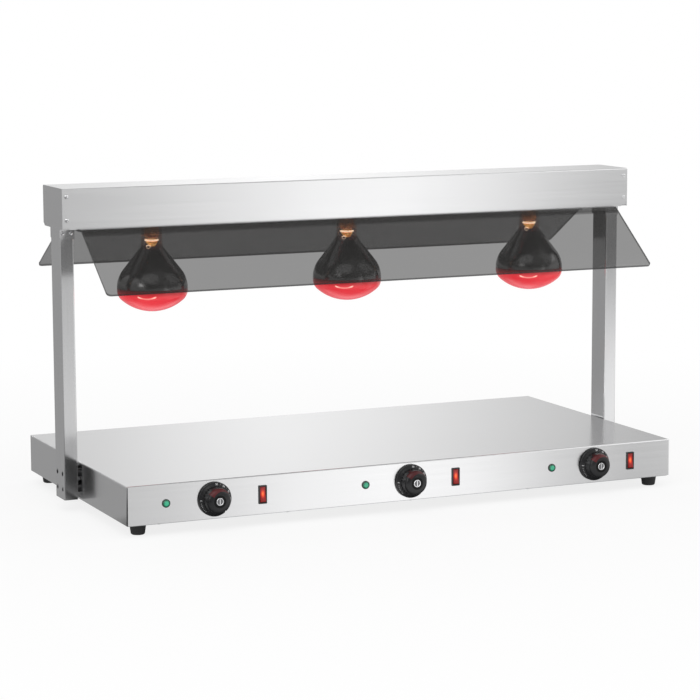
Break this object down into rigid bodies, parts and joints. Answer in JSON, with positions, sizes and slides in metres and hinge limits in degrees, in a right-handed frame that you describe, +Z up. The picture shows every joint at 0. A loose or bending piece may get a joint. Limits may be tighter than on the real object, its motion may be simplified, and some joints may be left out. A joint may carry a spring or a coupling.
{
  "type": "heat lamp gantry",
  "caption": "Heat lamp gantry on a hot plate: folded steel base with knobs and rocker switches, two uprights, a beam with smoked guards and red-fronted reflector lamps.",
  "frame": {"origin": "middle of the footprint on the surface that the feet stand on", "axes": "+X to the right along the beam, -Y to the side with the controls, +Z up"},
  "size_m": [1.115, 0.601, 0.569],
  "materials": {
    "stainless_base": "satin",
    "stainless_beam": "satin",
    "stainless_tray": "satin",
    "stainless_cap": "satin",
    "stainless_upright": "satin",
    "stainless_bracket": "satin",
    "galvanised": "matte",
    "zinc_screws": "satin",
    "bright_screws": "polished",
    "mineral_wool": "matte",
    "aluminium_plate": "satin",
    "element_sheath": "matte",
    "switch_housing_plastic": "matte",
    "copper": "satin",
    "shaft_steel": "satin",
    "black_rubber": "matte",
    "black_plastic": "matte",
    "knob_plastic": "satin",
    "chrome_ring": "polished",
    "green_lens": "gloss",
    "lit_rocker": "gloss",
    "terminal_plastic": "matte",
    "wire_insulation": "matte",
    "smoked_clear": "gloss",
    "lamp_glass": "gloss",
    "lamp_cap_brass": "satin",
    "lamp_mount_metal": "satin",
    "ceramic": "matte"
  },
  "bodies": {
    "gantry": {"base_shell": "stainless_base", "base_plate": "galvanised", "base_screws": "zinc_screws", "insulation_slabs": "mineral_wool", "heater_plates": "aluminium_plate", "heating_elements": "element_sheath", "thermostats": "switch_housing_plastic", "thermostat_probes": "copper", "pilot_bezels": "black_plastic", "cable_gland": "black_plastic", "terminal_block": "terminal_plastic", "wiring": "wire_insulation", "upright_left": "stainless_upright", "upright_right": "stainless_upright", "upright_spacers": "zinc_screws", "upright_bolts": "zinc_screws", "stirrup_left": "stainless_bracket", "stirrup_right": "stainless_bracket", "beam_shell": "stainless_beam", "beam_tray": "stainless_tray", "beam_end_cap_left": "stainless_cap", "beam_end_cap_right": "stainless_cap", "beam_screws": "bright_screws", "front_guard": "smoked_clear", "rear_guard": "smoked_clear", "lamp_sockets": "ceramic", "lamp_hangers": "galvanised", "foot_front_left": "black_rubber", "foot_front_right": "black_rubber", "foot_rear_left": "black_rubber", "foot_rear_right": "black_rubber", "pilot_lens_left": "green_lens", "switch_housing_left": "black_plastic", "pilot_lens_centre": "green_lens", "switch_housing_centre": "black_plastic", "pilot_lens_right": "green_lens", "switch_housing_right": "black_plastic"},
    "left_knob": {"knob_left": "knob_plastic", "knob_cap_left": "chrome_ring", "thermostat_shaft_left": "shaft_steel"},
    "centre_knob": {"knob_centre": "knob_plastic", "knob_cap_centre": "chrome_ring", "thermostat_shaft_centre": "shaft_steel"},
    "right_knob": {"knob_right": "knob_plastic", "knob_cap_right": "chrome_ring", "thermostat_shaft_right": "shaft_steel"},
    "left_rocker": {"switch_rocker_left": "lit_rocker"},
    "centre_rocker": {"switch_rocker_centre": "lit_rocker"},
    "right_rocker": {"switch_rocker_right": "lit_rocker"},
    "left_lamp": {"lamp_bulb_left": "lamp_glass", "lamp_cap_left": "lamp_cap_brass", "lamp_filament_left": "lamp_mount_metal"},
    "centre_lamp": {"lamp_bulb_centre": "lamp_glass", "lamp_cap_centre": "lamp_cap_brass", "lamp_filament_centre": "lamp_mount_metal"},
    "right_lamp": {"lamp_bulb_right": "lamp_glass", "lamp_cap_right": "lamp_cap_brass", "lamp_filament_right": "lamp_mount_metal"}
  },
  "joints": [
    {"name": "left_knob_turn", "type": "hinge", "parent": "gantry", "child": "left_knob", "pos_m": [-0.369, -0.2725, 0.0535], "axis": [0, 1, 0], "range_deg": [0, 270]},
    {"name": "centre_knob_turn", "type": "hinge", "parent": "gantry", "child": "centre_knob", "pos_m": [-0.0015, -0.2725, 0.0535], "axis": [0, 1, 0], "range_deg": [0, 270]},
    {"name": "right_knob_turn", "type": "hinge", "parent": "gantry", "child": "right_knob", "pos_m": [0.366, -0.2725, 0.0535], "axis": [0, 1, 0], "range_deg": [0, 270]},
    {"name": "left_rocker_tilt", "type": "hinge", "parent": "gantry", "child": "left_rocker", "pos_m": [-0.281, -0.27, 0.0535], "axis": [1, 0, 0], "range_deg": [0, 16]},
    {"name": "centre_rocker_tilt", "type": "hinge", "parent": "gantry", "child": "centre_rocker", "pos_m": [0.0865, -0.27, 0.0535], "axis": [1, 0, 0], "range_deg": [0, 16]},
    {"name": "right_rocker_tilt", "type": "hinge", "parent": "gantry", "child": "right_rocker", "pos_m": [0.4415, -0.27, 0.0535], "axis": [1, 0, 0], "range_deg": [0, 16]},
    {"name": "left_lamp_unscrew", "type": "hinge", "parent": "gantry", "child": "left_lamp", "pos_m": [-0.377, 0, 0.507], "axis": [0, 0, -1], "range_deg": [0, 1440]},
    {"name": "centre_lamp_unscrew", "type": "hinge", "parent": "gantry", "child": "centre_lamp", "pos_m": [0, 0, 0.507], "axis": [0, 0, -1], "range_deg": [0, 1440]},
    {"name": "right_lamp_unscrew", "type": "hinge", "parent": "gantry", "child": "right_lamp", "pos_m": [0.377, 0, 0.507], "axis": [0, 0, -1], "range_deg": [0, 1440]}
  ]
}
